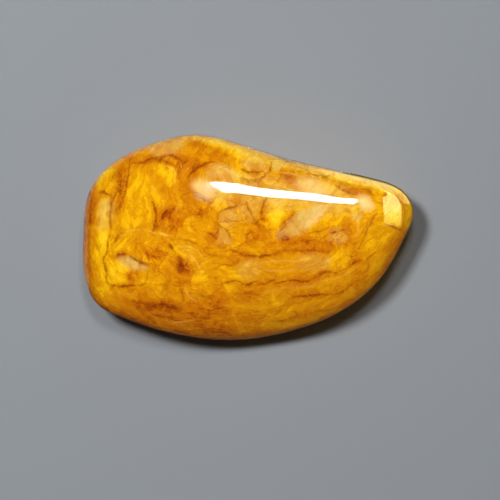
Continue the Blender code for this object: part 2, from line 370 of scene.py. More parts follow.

# Brown fields, some along the rims painted shade: the same.
BROWN_AND_SHADED_FIELDS = (
    # Behind the dark cluster.
    (0.57, 0.85, (-7.9, 2.18, -6.68, 2.53, -5.54, 2.1, -5.72, 1.05, -6.85, 0.7, -7.72, 0.79)),
    # Beside the crown.
    (0.91, 0.54, (-5.45, 3.84, -3.71, 3.49, -3.53, 2.27, -4.41, 1.48, -5.28, 2.27)),
    # Broad end stripe.
    (0.45, 0.35, (-11.39, 5.94, -10.69, 6.11, -10.61, 4.54, -10.96, 2.62, -11.48, 2.1,
     -11.57, 3.49)),
    # Upper swirl.
    (0.57, 0.63, (-6.15, 6.72, -4.58, 6.72, -3.88, 6.29, -4.58, 5.33, -5.45, 4.54, -5.98, 5.41)),
    # Upper arch shade.
    (0.45, 0.45, (-10.34, 6.81, -8.6, 6.99, -6.85, 6.81, -6.33, 6.29, -7.72, 6.46, -10, 6.11)),
    # Bottom field.
    (0.87, 1, (-12.09, -5.24, -9.47, -5.68, -5.45, -6.2, -4.93, -7.69, -8.6, -7.51,
     -11.22, -6.81)),
    (1.02, 0.85, (-5.63, -6.11, -1.79, -6.46, -1.09, -8.03, -4.58, -8.21)),
    # Bottom dark spot.
    (0.79, 0.72, (-3.53, -5.59, -2.14, -5.59, -1.96, -6.99, -3.18, -7.34)),
    # Bottom field.
    (1.02, 0.45, (-1.09, -6.64, 1.18, -6.46, 1.53, -7.51, -0.74, -8.21)),
    # Lower middle field.
    (0.91, 0.4, (-1.09, -4.19, 2.76, -4.45, 4.15, -5.15, 2.41, -5.94, -0.21, -5.41)),
    # Middle right field.
    (0.57, 0.38, (1.36, -0.35, 4.5, -0.17, 7.12, -0.7, 7.03, -1.22, 4.5, -1.31, 1.53, -1.22)),
    # Right field.
    (0.45, 0.54, (8.34, 1.48, 8.87, 1.05, 8.78, 0, 8.17, 0.61)),
    # Right lower field.
    (0.68, 0.45, (9.31, -1.22, 10.62, -1.66, 10.18, -3.14, 9.13, -3.32, 8.87, -2.45)),
    # Middle field.
    (0.57, 0.54, (-0.65, 1.14, 0.66, 0.96, 0.75, -0.09, -0.21, -0.26)),
    # Box spot.
    (0.34, 0.81, (-10.52, -3.06, -9.73, -3.06, -9.65, -3.58, -10.34, -3.67)),
    # Box corner.
    (0.28, 0.72, (-11.39, -1.4, -10.69, -1.31, -10.61, -1.66, -11.22, -1.92)),
    # Box lower shade.
    (0.57, 0.45, (-10.52, -4.02, -8.6, -4.37, -8.95, -5.07, -10.52, -4.89)),
    # Upper middle spot.
    (0.34, 0.72, (3.28, 5.33, 4.07, 5.33, 4.07, 4.45, 3.54, 4.45)),
    # Upper band.
    (0.45, 0.54, (-4.93, 8.47, -3.01, 7.86, -1.26, 6.81, -1.61, 6.29, -3.53, 7.07, -4.93, 7.6)),
    # Long side shade.
    (0.34, 0.54, (7.65, 4.72, 8.52, 4.63, 9.31, 3.93, 8.52, 4.02)),
    # Lower right shade.
    (0.79, 0.41, (7.12, -4.19, 8.69, -4.02, 8, -5.24, 6.42, -5.68)),
    # By the dark grains.
    (0.45, 0.63, (-6.15, -1.57, -5.37, -1.92, -5.28, -2.88, -5.89, -2.79)),
    # Middle shade.
    (0.68, 0.36, (-1.96, -0.7, -0.56, -0.87, 0.14, -1.22, -1.44, -1.4)),
    # Grey band foot.
    (0.34, 0.63, (2.58, 0.17, 3.98, 0.17, 4.15, -0.35, 2.76, -0.44)),
    # Left of the middle.
    (0.91, 0.36, (-9.47, 0, -7.2, -0.17, -7.38, -1.22, -9.3, -1.05)),
    # Left rim: partly brown layering, partly painted shade and dark reflection.
    (0.44, 0.8, (-14.45, 4.19, -13.66, 5.07, -13.23, 3.32, -13.31, 0.7, -13.4, -2.1, -13.23, -4.37,
     -14.36, -4.54, -14.71, -0.17)),
    # Lower left rim: partly brown, partly painted shade on the rim away from the lights.
    (0.44, 1, (-14.36, -4.37, -13.66, -4.72, -12.44, -5.94, -10.52, -6.64, -7.72, -7.34,
     -7.9, -8.56, -12.09, -7.34, -14.19, -5.41)),
    # Bottom rim: partly brown, partly painted shade on the rim away from the lights.
    (0.45, 1, (-7.9, -7.77, -4.23, -8.3, -0.74, -8.47, 3.63, -8.03, 7.12, -6.99, 7.3, -7.69,
     3.63, -8.91, -1.61, -9.43, -7.72, -8.91)),
    # Low right field.
    (0.87, 0.25, (3.63, -3.84, 8.87, -3.32, 10.44, -2.1, 11.84, -2.1, 9.04, -5.41, 4.5, -7.34,
     1.18, -7.69, 1.18, -6.11)),
    # Upper left shade.
    (0.7, 0.35, (-9.47, 5.76, -7.72, 4.19, -5.98, 3.32, -5.1, 4.54, -6.33, 4.19, -8.07, 5.41)),
    # Middle.
    (0.79, 0.36, (-5.45, 1.4, -0.74, 1.22, -0.39, -1.05, -4.58, -1.57)),
    # Bottom left rim: partly brown, partly painted shade.
    (0.52, 0.8, (-11.92, -5.76, -10.17, -6.55, -7.72, -7.16, -7.72, -7.69, -10.34, -7.16,
     -12.09, -6.46)),
    # Right flank.
    (0.7, 0.42, (13.59, 0.35, 12.89, -2.1, 10.79, -4.89, 8, -7.16, 6.77, -7.34, 8.34, -5.59,
     10.27, -3.67, 11.84, -1.57, 12.89, 0.17)),
)

# Pale patches, some of them painted glows beside the strip highlight and a painted reflection: the
# same.
PALE_PATCHES_AND_GLOWS = (
    # Upper left cloud.
    (0.64, 0.55, (-8.25, 7.77, -7.64, 8.21, -6.76, 8.38, -5.98, 8.21, -6.24, 7.69, -7.03, 7.42,
     -7.9, 7.42)),
    # Upper middle leaf.
    (0.39, 0.52, (-3.53, 5.76, -2.83, 6.24, -2.14, 6.2, -1.44, 5.76, -0.74, 5.41, -0.91, 5.15,
     -2.05, 5.07, -3.18, 5.15)),
    # Upper fragment.
    (0.32, 0.32, (-0.39, 6.81, 0.31, 6.9, 1.27, 6.55, 1.45, 5.94, 0.31, 5.81, -0.3, 6.11)),
    # Small fragment.
    (0.2, 0.4, (1.97, 6.51, 2.89, 6.42, 2.84, 5.9, 2.06, 5.94)),
    # Grey band.
    (0.48, 0.72, (5.64, 2.88, 6.51, 2.71, 5.72, 1.83, 4.85, 0.96, 3.98, 0.44, 3.02, 0.17,
     2.67, 0.26, 3.45, 1.14, 4.5, 2.01)),
    # Pale spot by the tip.
    (0.24, 0.5, (8.96, 2.18, 9.44, 2.23, 9.7, 1.83, 9.39, 1.48, 9.04, 1.66)),
    # Pale spot.
    (0.48, 0.42, (7.21, 0.52, 8, 0.57, 8.39, 0.09, 7.82, -0.35, 7.21, -0.17)),
    # Box patch.
    (0.39, 0.72, (-11.04, -1.66, -10.34, -1.75, -9.47, -2.27, -8.95, -2.58, -9.65, -2.62,
     -10.52, -2.31, -11.04, -1.92)),
    # Middle cloud.
    (0.64, 0.25, (-0.39, -2.27, 0.31, -2.1, 0.83, -2.45, 0.48, -3.06, -0.21, -3.14, -0.56, -2.71)),
    # Right cloud.
    (0.64, 0.3, (4.59, -1.83, 5.72, -1.66, 6.77, -1.92, 6.6, -2.36, 5.38, -2.53, 4.59, -2.27)),
    # Crown cloud.
    (0.64, 0.35, (-0.74, 3.14, 0.14, 3.23, 0.48, 2.45, 0.14, 1.75, -0.56, 2.45)),
    # Fragment face.
    (0.48, 0.34, (-2.22, 2.1, -1.26, 2.45, -0.74, 1.92, -1.44, 1.22, -2.14, 1.4)),
    # Broad end pale band.
    (0.64, 0.36, (-12.7, 2.97, -12, 3.14, -12.09, 1.4, -12.7, 1.05)),
    # Upper pale wisp.
    (0.64, 0.3, (4.5, 4.63, 5.55, 4.72, 6.25, 4.02, 6.07, 3.58, 4.85, 3.84)),
    # Lower fragment face.
    (0.48, 0.35, (-2.31, 0.7, -1.79, 0.35, -1.7, -0.35, -2.48, -0.35)),
    # Cloud left of the crown: painted glow at the strip highlight's left end.
    (0.49, 0.35, (-4.58, 4.63, -3.79, 4.72, -3.18, 4.19, -3.36, 3.58, -4.14, 3.58)),
    # Cloud by the tip: painted glow at the strip highlight's right end.
    (0.49, 0.35, (9.83, 3.23, 10.44, 3.06, 10.7, 2.53, 10.18, 2.36, 9.74, 2.71)),
    # Haze above the seam: painted halo beside the strip highlight.
    (0.61, 0.35, (4.33, 4.8, 5.38, 4.89, 6.42, 4.1, 5.9, 3.76, 4.68, 4.19)),
    # Upper right rim: painted reflection of the light beyond the tip.
    (0.26, 0.8, (7.12, 6.03, 8.69, 5.72, 10.09, 5.41, 11.66, 4.93, 12.8, 4.45, 12.54, 4.19,
     11.14, 4.72, 9.57, 5.15, 8, 5.5)),
    # Veil along the strip: painted halo around the strip highlight.
    (1.05, 0.3, (-3.18, 5.24, 0.14, 5.15, 4.5, 4.63, 8, 4.1, 9.22, 3.41, 8.87, 2.53, 4.5, 2.71,
     0.14, 3.06, -3.01, 3.49, -3.71, 4.37)),
)

# Spots with a hazier polish, where a pale painted glow is laid over the colour too: the same.
HAZY_AND_GLOWING_SPOTS = (
    # Left end of the strip highlight: hazier polish and painted glow.
    (0.79, 0.68, (-4.41, 4.54, -3.79, 4.63, -3.27, 4.1, -3.53, 3.67, -4.06, 3.76)),
    # Right end of the strip highlight: hazier polish and painted glow.
    (0.57, 1, (9.74, 3.32, 10.22, 3.23, 10.53, 2.79, 10.09, 2.71)),
    # Above the right half of the strip highlight: hazier polish and painted halo.
    (0.79, 0.6, (4.5, 4.72, 5.55, 4.8, 6.6, 4.02, 5.55, 3.93)),
    # Streak in the grey band.
    (0.44, 0.42, (6.07, 2.71, 6.77, 2.62, 5.64, 1.4, 5.03, 1.14, 5.38, 1.83)),
)

# Fields where the stone is broken into fragments and healed again: the same.
BROKEN_FIELDS = (
    # Middle.
    (1.05, 0.9, (-3.18, 3.32, 1.18, 3.67, 1.88, 1.4, 0.48, -0.7, -2.31, -0.7, -3.71, 1.05)),
    # Upper right.
    (0.87, 0.8, (-0.56, 6.81, 4.5, 6.46, 8.34, 4.89, 7.12, 3.84, 1.18, 4.54, -0.74, 5.24)),
    # Right of the middle.
    (1.05, 0.5, (3.1, 2.79, 8.87, 2.62, 9.04, -0.52, 3.63, -0.52)),
    # Lower left.
    (1.22, 0.6, (-11.74, -1.22, -7.72, -0.7, -3.71, -2.1, -3.01, -5.07, -8.6, -5.41,
     -11.92, -4.37)),
    # Beside the broad end.
    (0.87, 0.5, (-8.6, 3.32, -3.88, 3.67, -3.71, 0.7, -8.07, 0.52)),
)

# What the stone is marked with, painted light, shade and glows among it: sizes, strengths and
# paths, and the short name of each kind.
LINE_KINDS = {"Dark seams": ("seam", DARK_SEAMS), "Bright threads": ("thread", BRIGHT_THREADS)}
PATCH_KINDS = {
    "Golden fields": ("golden", GOLDEN_AND_LIT_FIELDS), "Brown fields": ("brown", BROWN_AND_SHADED_FIELDS),
    "Pale patches": ("pale", PALE_PATCHES_AND_GLOWS), "Hazy spots": ("haze", HAZY_AND_GLOWING_SPOTS),
    "Broken fields": ("broken", BROKEN_FIELDS),
}

# Heights at which the drawn markings are full on the side, gone, and full again on the base.
SIDE_MARKS, NO_MARKS, BASE_MARKS = 1.3 * MM, 0.5 * MM, 0.08 * MM

# The patterns of the tone: waves in a millimetre, detail, roughness, distortion, how much they
# change in a millimetre of layers, where they start there, the range that is made sharp, and how
# much they count.
TONE_PATTERNS = (
    (0.42, 2.0, 0.55, 0.6, 0.75, 0.0, (0.47, 0.54), 0.1),  # Flakes.
    (0.8, 3.0, 0.6, 0.5, 1.2, 32.0, (0.5, 0.57), 0.09),  # Chips.
    (0.21, 3.0, 0.55, 0.8, None, None, None, 0.3),  # Clouds.
    (0.62, 4.0, 0.6, 1.4, None, None, None, 0.24),  # Swirls.
    (0.3, 3.0, 0.6, 0.0, 1.6, 0.0, None, 0.42),  # Fibres.
    (1.0, 3.0, 0.65, 0.0, 6.5, 0.0, None, 0.3),  # Thin layers.
)
MIDDLE_TONE = 0.53
# How far everything else shifts the tone; the golden and brown fields include painted light and
# shade on the rims.
GRAIN_TONE, CHANCE_TONE, JOINT_TONE = 0.26, 0.34, -0.13
GOLDEN_AND_LIT_TONE, BROWN_AND_SHADED_TONE, STAIN_TONE = 0.26, -0.3, -0.14
# Strokes along the layers: spacing in millimetres, shift, scale of what lets them through, tone.
STROKES = ((0.8, 0.0, 0.55, -0.13), (1.1, 0.3, 0.7, 0.1))
STROKE_WIDTH = 0.16
STROKE_GATE = (0.5, 0.66)
# Where each colour stands on the tone.
TONE_COLOURS = (
    (0.06, "umber"), (0.28, "russet"), (0.5, "ochre"), (0.7, "gold"), (0.92, "yellow"),
)

# Noises: waves in a millimetre, detail, roughness and distortion.
BROAD_WAVES = (0.17, 2.0, 0.5, 0.3)
SMALL_WAVES = (0.75, 3.0, 0.55, 0.4)
FRAGMENT_WAVES = (0.9, 2.0, 0.6)
RAGGED_WAVES = (2.6, 3.0, 0.65)
TORN_WAVES = (1.7, 4.0, 0.62, 0.6)
SHAKE_WAVES = (3.2, 2.0, 0.6)
GRAIN = (7.0, 3.0, 0.7)

# The layers follow the rims at the broad end and on the curved long side. In millimetres: how far
# out these lie, how they curve, how softly they meet, and how much lower layers lie further in.
BROAD_RIM, BROAD_RIM_CURVE = 14.4, 0.03
LONG_RIM, LONG_RIM_MIDDLE, LONG_RIM_CURVE = 8.9, -1.0, 0.035
RIMS_MEET = 4.0
LAYER_DIP = 0.55
# How far broad waves shift the layers: 1.2 mm at the rim, growing to 7 mm at 7 mm in from it.
# Small waves shift them equally far everywhere.
BROAD_SHIFT = (0.0, 7.0, 1.2, 7.0)
SMALL_SHIFT = 1.5
# Fragments: how many to a millimetre, how far their borders bend, the width of the joints between
# them, and how far the layers are shifted from one to the next.
FRAGMENT_SCALE, FRAGMENT_BEND, JOINT_WIDTH, FRAGMENT_SHIFT = 0.52, 1.3, 0.07, 5.0

# A drawn line's taper: the stretch of a half wave that it follows, and the share of the width
# that doesn't taper.
TAPER_FROM, TAPER_TO, EVEN_SHARE = 0.12, 0.88, 0.55
# Where a noise makes a drawn line thinner or wider, and where it fades it: the noise's range, and
# the share of width or strength at its ends.
RAGGED_WIDTH, RAGGED_STRENGTH = (0.3, 0.7, 0.45, 1.5), (0.38, 0.55, 0.4, 1.0)
# Where a drawn line's core ends, in shares of its half width.
CORE_EDGE = (0.2, 1.5, 1.0, 0.0)
# How far a drawn line shakes, in millimetres, and how many times its own width its stain reaches.
SHAKE = 0.18
SEAM_STAIN, THREAD_STAIN = 5.0, 3.0
# How much a noise tears the fields, and up to which part of their soft borders it grows.
GOLDEN_TEAR, BROWN_TEAR, PALE_TEAR = 1.2, 1.4, 1.5
TEAR_BORDER = (0.0, 0.4)
# How far each of them covers the tone's colour; over the hazy spots this is a pale painted glow.
# The pale patches cover a dark tone less: the range of the tone, and how far they cover it there.
HAZE_GLOW_COVER, THREAD_COVER, SEAM_COVER = 0.62, 0.75, 0.75
PALE_COVER = (0.3, 0.75, 0.35, 0.85)
# Roughness of the clear and the hazy polish, and what the grain adds to it.
CLEAR_ROUGHNESS, HAZY_ROUGHNESS, GRAIN_ROUGHNESS = 0.03, 0.22, 0.03
# The faint break of the polish at seams and grain.
BREAK_STRENGTH, BREAK_DEPTH, GRAIN_BREAK = 0.12, 0.03 * MM, 0.35
# How much of the light goes into the stone, and how far each of its colours gets there.
GLOW, GLOW_REACH = 0.4, (1.0, 0.35, 0.05)


def srgb(red, green, blue):
    """The scene-linear colour of a colour given as 0 to 255 on a screen."""
    shares = [value / 255 for value in (red, green, blue)]
    linear = [s / 12.92 if s <= 0.04045 else ((s + 0.055) / 1.055) ** 2.4 for s in shares]
    return (*linear, 1.0)


def colour_property(name, description, *colour):
    """A colour that a user can change in the sidebar."""
    return FloatVectorProperty(name=name, description=description, default=srgb(*colour),
                               subtype="COLOR", size=4, min=0.0, max=1.0)


def length_property(name, description, millimetres):
    """A length that a user can change in the sidebar."""
    return FloatProperty(name=name, description=description, default=millimetres * MM,
                         subtype="DISTANCE", unit="LENGTH", precision=5)


def number_property(name, description, default, low=0.0, **more):
    """A number that a user can change in the sidebar."""
    return FloatProperty(name=name, description=description, default=default, min=low, **more)


class StoneSettings(bpy.types.PropertyGroup):
    """Mesh and markings of the stone."""

    grid: IntProperty(name="Mesh squares", description="Squares along each edge of the cage",
                      default=128, min=16, max=128)
    wander: length_property("Wander", "How far a drawn marking strays from its path", 0.16)
    wander_size: length_property("Wander size", "Size of the waves a marking strays in", 1.1)
    depth_run: number_property(
        "Depth run", "Sideways run of a marking for its depth below the girdle", 0.55, max=2.0)


class ColourSettings(bpy.types.PropertyGroup):
    """Colours and polish of the jasper."""

    umber: colour_property("Umber", "Darkest clouds", 158, 76, 2)
    russet: colour_property("Russet", "Brown-orange clouds", 200, 118, 1)
    ochre: colour_property("Ochre", "The stone's main colour", 216, 147, 2)
    gold: colour_property("Gold", "Golden fields", 236, 178, 3)
    yellow: colour_property("Yellow", "Brightest fields", 254, 207, 30)
    # Pale also paints the glows beside the strip highlight and a reflection on the upper rim.
    pale: colour_property("Pale", "Pale patches", 209, 182, 114)
    # Mist: the pale painted glow at the hazy spots beside the strip highlight, and a pale streak.
    mist_and_glow: colour_property("Mist", "Hazy spots", 250, 221, 152)
    thread: colour_property("Thread", "Bright threads", 252, 196, 90)
    seam: colour_property("Seam", "Dark seams", 124, 38, 1)
    refraction: number_property(
        "Refraction", "Index of refraction of the stone and its polish", 1.54, 1.3, max=2.0)
    depth_of_glow: length_property("Depth of glow", "How far light travels in the stone", 1.4)
    polish: number_property("Polish roughness", "Roughness of the polished skin", 0.018,
                            max=0.3, subtype="FACTOR")


class StageSettings(bpy.types.PropertyGroup):
    """Table, lights and camera."""

    table: colour_property("Table", "Colour of the table", 172, 177, 183)
    key_light: number_property(
        "Key light", "Brightness of the soft light on the broad end's side", 46.8)
    strip_light: number_property("Strip light", "Brightness of the strip light", 20.0)
    side_light: number_property(
        "Side light", "Brightness of the window-like light at the tip's side", 5.0)
    sheen: number_property(
        "Table sheen", "Brightness of the lit table where the polish mirrors it", 0.34)
    fill: number_property("Fill", "Brightness of the air around the stone", 0.03)
    lens: number_property("Lens", "Focal length of the camera", 250.0, 10.0,
                          subtype="DISTANCE_CAMERA")
    frame_width: length_property("Frame width", "Width of the picture at the girdle", 43.668)


def closed_spline(points, steps):
    """A smooth closed curve through the points: a periodic cubic spline over the chord lengths."""
    count = len(points)
    chords = np.linalg.norm(np.roll(points, -1, axis=0) - points, axis=1)
    before = np.roll(chords, 1)
    slopes = (np.roll(points, -1, axis=0) - points) / chords[:, None]
    system = np.zeros((count, count))
    for i in range(count):
        system[i, i - 1] = before[i]
        system[i, i] = 2 * (before[i] + chords[i])
        system[i, (i + 1) % count] = chords[i]
    bends = np.linalg.solve(system, 6 * (slopes - np.roll(slopes, 1, axis=0)))
    knots = np.concatenate([[0.0], np.cumsum(chords)])
    along = np.linspace(0.0, knots[-1], steps, endpoint=False)
    span = np.searchsorted(knots, along, side="right") - 1
    after = (span + 1) % count
    width = chords[span][:, None]
    left = (knots[span + 1] - along)[:, None]
    right = (along - knots[span])[:, None]
    curved = (bends[span] * left**3 + bends[after] * right**3) / (6 * width)
    straight = (points[span] / width - bends[span] * width / 6) * left
    return curved + straight + (points[after] / width - bends[after] * width / 6) * right


def girdle_radius(azimuth):
    """Distance from the origin to the plan outline in each direction."""
    outline = closed_spline(np.array(OUTLINE_MM) * MM, OUTLINE_STEPS)
    angles = np.arctan2(outline[:, 1], outline[:, 0])
    order = np.argsort(angles)
    return np.interp(azimuth, angles[order], np.hypot(*outline[order].T), period=2 * math.pi)


def ellipse_radius(azimuth, length, width, turn):
    """Radius of an ellipse of these half sizes in each direction, with its length turned."""
    return 1 / np.hypot(np.cos(azimuth - turn) / length, np.sin(azimuth - turn) / width)


def girdle_height(azimuth):
    """Height of the widest line, with its tilt and its dip."""
    dip = np.maximum(np.cos(azimuth - GIRDLE_DIP_SIDE), 0.0) ** GIRDLE_DIP_NARROWNESS
    return GIRDLE_HEIGHT + GIRDLE_TILT * np.cos(azimuth - GIRDLE_HIGH_SIDE) - GIRDLE_DIP * dip


def profile_angle(share):
    """The dome profile's angle from the crown, so that even shares are even lengths of surface."""
    angle = np.linspace(0.0, math.pi / 2, PROFILE_STEPS)
    out = np.sin(angle) * (CROWN_LENGTH + CROWN_WIDTH) / 2
    up = np.cos(angle) * (THICKNESS - GIRDLE_HEIGHT)
    length = np.concatenate([[0.0], np.cumsum(np.hypot(np.diff(out), np.diff(up)))])
    return np.interp(share, length / length[-1], angle)


def dome(azimuth, share):
    """Points of the upper side: share is 0 at the crown and 1 at the girdle."""
    angle = profile_angle(share)
    reach = np.sin(angle)
    to_outline = reach**CROWN_BLEND
    crown = ellipse_radius(azimuth, CROWN_LENGTH, CROWN_WIDTH, CROWN_TURN)
    radius = reach * ((1 - to_outline) * crown + to_outline * girdle_radius(azimuth))
    x = radius * np.cos(azimuth) + (1 - to_outline) * CROWN_X
    y = radius * np.sin(azimuth) + (1 - to_outline) * CROWN_Y
    base = girdle_height(azimuth)
    return np.column_stack([x, y, base + (THICKNESS - base) * np.cos(angle)])


def underside(azimuth, share):
    """Points of the lower side: flat up to FLAT_SHARE, then rolling up to the girdle."""
    angle = np.clip((share - FLAT_SHARE) / (1 - FLAT_SHARE), 0.0, 1.0) * math.pi / 2
    to_outline = np.sin(angle)
    base = ellipse_radius(azimuth, BASE_LENGTH, BASE_WIDTH, BASE_TURN)
    flat = base * np.minimum(share / FLAT_SHARE, 1.0)
    radius = (1 - to_outline) * flat + to_outline * girdle_radius(azimuth)
    x = radius * np.cos(azimuth) + (1 - to_outline) * BASE_X
    y = radius * np.sin(azimuth) + (1 - to_outline) * BASE_Y
    return np.column_stack([x, y, girdle_height(azimuth) * (1 - np.cos(angle))])


def stone_surface(directions):
    """The stone's surface points for directions from its middle."""
    azimuth = np.arctan2(directions[:, 1], directions[:, 0])
    level = np.hypot(directions[:, 0], directions[:, 1])
    share = np.arctan2(level, np.abs(directions[:, 2])) / (math.pi / 2)
    above = (directions[:, 2] >= 0)[:, None]
    return np.where(above, dome(azimuth, share), underside(azimuth, share))


def stone_mesh(name, grid):
    """A cube divided into even squares, shaped into the stone."""
    cage = bmesh.new()
    bmesh.ops.create_cube(cage, size=2.0)
    bmesh.ops.subdivide_edges(cage, edges=cage.edges[:], cuts=grid - 1, use_grid_fill=True)
    corners = np.array([vertex.co for vertex in cage.verts])
    even = np.tan(corners * math.pi / 4)
    for vertex, place in zip(cage.verts, stone_surface(even)):
        vertex.co = place
    mesh = bpy.data.meshes.new(name)
    cage.to_mesh(mesh)
    cage.free()
    mesh.shade_smooth()
    return mesh


def smooth_path(points, steps=6):
    """A Catmull-Rom curve through the points of an open path, in metres."""
    known = np.array(points) * MM
    padded = np.vstack([2 * known[0] - known[1], known, 2 * known[-1] - known[-2]])
    made = [known[0]]
    for a, b, c, d in zip(padded, padded[1:], padded[2:], padded[3:]):
        for t in np.linspace(0, 1, steps + 1)[1:]:
            made.append(0.5 * (2 * b + (c - a) * t + (2 * a - 5 * b + 4 * c - d) * t**2
                               + (3 * b - a - 3 * c + d) * t**3))
    return np.array(made)


def guide_object(name, corners, edges, faces, sizes, strengths):
    """A helper object in the plan that only the markings tree reads."""
    mesh = bpy.data.meshes.new(name)
    mesh.from_pydata([(x, y, 0.0) for x, y in corners], edges, faces)
    domain = "FACE" if faces else "EDGE"
    for attribute_name, values in (("mark_size", sizes), ("mark_strength", strengths)):
        mesh.attributes.new(attribute_name, "FLOAT", domain).data.foreach_set("value", values)
    guide = bpy.data.objects.new(name, mesh)
    bpy.context.scene.collection.objects.link(guide)
    return guide


def line_guide(name, lines):
    """Edges along every drawn line, each edge with the line's width and strength."""
    corners, edges, widths, strengths = [], [], [], []
    for half_width, strength, path in lines:
        curve = smooth_path(np.reshape(path, (-1, 2)))
        count = len(curve) - 1
        edges += [(i, i + 1) for i in range(len(corners), len(corners) + count)]
        corners += list(curve)
        taper = np.sin(np.linspace(TAPER_FROM, TAPER_TO, count) * math.pi) ** 0.5
        widths += list(half_width * (EVEN_SHARE + (1 - EVEN_SHARE) * taper))
        strengths += list(strength * taper)
    return guide_object(name, corners, edges, [], widths, strengths)


def patch_guide(name, patches):
    """One flat face for every drawn patch, with the width of its soft border and its strength."""
    corners, faces = [], []
    borders, strengths, outlines = zip(*patches)
    for outline in outlines:
        points = np.reshape(outline, (-1, 2)) * MM
        faces.append(list(range(len(corners), len(corners) + len(points))))
        corners += list(points)
    return guide_object(name, corners, [], faces, borders, strengths)


class Value:
    """What a node puts out. Sums and products of values are made with Math nodes."""

    def __init__(self, socket):
        self.socket = socket
        self.tree = socket.id_data

    def __add__(self, other):
        return maths("ADD", self, other)

    def __sub__(self, other):
        return maths("SUBTRACT", self, other)

    def __mul__(self, other):
        return maths("MULTIPLY", self, other)

    def __truediv__(self, other):
        return maths("DIVIDE", self, other)


def set_inputs(node, inputs):
    """Links a node's inputs to values, or sets them."""
    for key, value in dict(inputs).items():
        if isinstance(value, Value):
            value.tree.links.new(value.socket, node.inputs[key])
        else:
            node.inputs[key].default_value = value


def add_node(tree, kind, inputs=(), **settings):
    """A node with its settings, and its inputs linked or set."""
    node = tree.nodes.new(kind)
    for setting, value in settings.items():
        setattr(node, setting, value)
    set_inputs(node, inputs)
    return node


def result(tree, kind, inputs=(), output=0, **settings):
    """The value of a new node."""
    return Value(add_node(tree, kind, inputs, **settings).outputs[output])


def results(node):
    """All the values of a node by name."""
    return {output.name: Value(output) for output in node.outputs if output.name}


def maths(operation, *values, clamp=False):
    """The result of a Math node."""
    tree = next(value.tree for value in values if isinstance(value, Value))
    return result(tree, "ShaderNodeMath", enumerate(values), operation=operation, use_clamp=clamp)


def vector_maths(operation, first, *others, scale=None):
    """The result of a Vector Math node."""
    inputs = dict(enumerate((first, *others)))
    if scale is not None:
        inputs["Scale"] = scale
    output = "Value" if operation == "LENGTH" else "Vector"
    return result(first.tree, "ShaderNodeVectorMath", inputs, output, operation=operation)


def around_zero(colour):
    """A noise colour as a vector that points to all sides."""
    return vector_maths("SUBTRACT", colour, (0.5, 0.5, 0.5))


def split(vector):
    """A vector's three parts."""
    node = add_node(vector.tree, "ShaderNodeSeparateXYZ", {0: vector})
    return [Value(output) for output in node.outputs]


def ramp(value, low, high, to_low=0.0, to_high=1.0, kind="SMOOTHSTEP"):
    """The value mapped from one range to another and held at its ends."""
    inputs = {"Value": value, "From Min": low, "From Max": high,
              "To Min": to_low, "To Max": to_high}
    return result(value.tree, "ShaderNodeMapRange", inputs, interpolation_type=kind)


def noise(place, scale, detail=2.0, roughness=0.5, distortion=0.0, depth=None, output="Fac"):
    """A Noise Texture node, in three dimensions or, with a depth, in four."""
    inputs = {"Vector": place, "Scale": scale, "Detail": detail, "Roughness": roughness,
              "Distortion": distortion}
    if depth is not None:
        inputs["W"] = depth
    return result(place.tree, "ShaderNodeTexNoise", inputs, output,
                  noise_dimensions="3D" if depth is None else "4D")


def new_group(name, kind, inputs, outputs):
    """A node tree with its sockets, and what its inputs give inside it."""
    tree = bpy.data.node_groups.new(name, kind)
    for in_out, sockets in (("INPUT", inputs), ("OUTPUT", outputs)):
        for socket, socket_kind, *default in sockets:
            made = tree.interface.new_socket(socket, in_out=in_out,
                                             socket_type="NodeSocket" + socket_kind)
            if default:
                made.default_value = default[0]
    return tree, results(tree.nodes.new("NodeGroupInput"))


def group_node(tree, group, inputs):
    """A placed node group's values."""
    kind = group.bl_idname.replace("Tree", "Group")
    return results(add_node(tree, kind, inputs, node_tree=group))


def nearest(given, target):
    """The nearest place on a guide, and the distance to it."""
    near = results(add_node(given["Guide"].tree, "GeometryNodeProximity",
                            {0: given["Guide"], 2: given["Place"]}, target_element=target))
    return near["Position"], near["Distance"]


def sampled(guide, place, domain, name):
    """The value that the nearest part of a guide carries."""
    index = result(guide.tree, "GeometryNodeSampleNearest",
                   {"Geometry": guide, "Sample Position": place}, domain=domain)
    value = result(guide.tree, "GeometryNodeInputNamedAttribute", {"Name": name},
                   data_type="FLOAT")
    return result(guide.tree, "GeometryNodeSampleIndex",
                  {"Geometry": guide, "Value": value, "Index": index},
                  domain=domain, data_type="FLOAT")


def line_field_tree():
    """Group: the way to the nearest drawn line, in millimetres, and that line's own values."""
    tree, given = new_group(
        "Nearest line", "GeometryNodeTree", [("Guide", "Geometry"), ("Place", "Vector")],
        [("Way", "Vector"), ("Distance", "Float"), ("Size", "Float"), ("Strength", "Float")])
    place, _distance = nearest(given, "EDGES")
    way = vector_maths("SUBTRACT", place, given["Place"])
    way = vector_maths("SCALE", way, scale=1 / MM)
    add_node(tree, "NodeGroupOutput", {
        "Way": way, "Distance": vector_maths("LENGTH", way),
        "Size": sampled(given["Guide"], place, "EDGE", "mark_size"),
        "Strength": sampled(given["Guide"], place, "EDGE", "mark_strength"),
    })
    return tree


def patch_field_tree():
    """Group: 1 inside a drawn patch, falling to 0 across its soft border, times its strength."""
    tree, given = new_group("Nearest patch", "GeometryNodeTree",
                            [("Guide", "Geometry"), ("Place", "Vector")], [("Field", "Float")])
    place, distance = nearest(given, "FACES")
    border = sampled(given["Guide"], place, "FACE", "mark_size")
    field = maths("SUBTRACT", 1.0, distance / MM / border, clamp=True)
    strength = sampled(given["Guide"], place, "FACE", "mark_strength")
    add_node(tree, "NodeGroupOutput", {"Field": field * strength})
    return tree


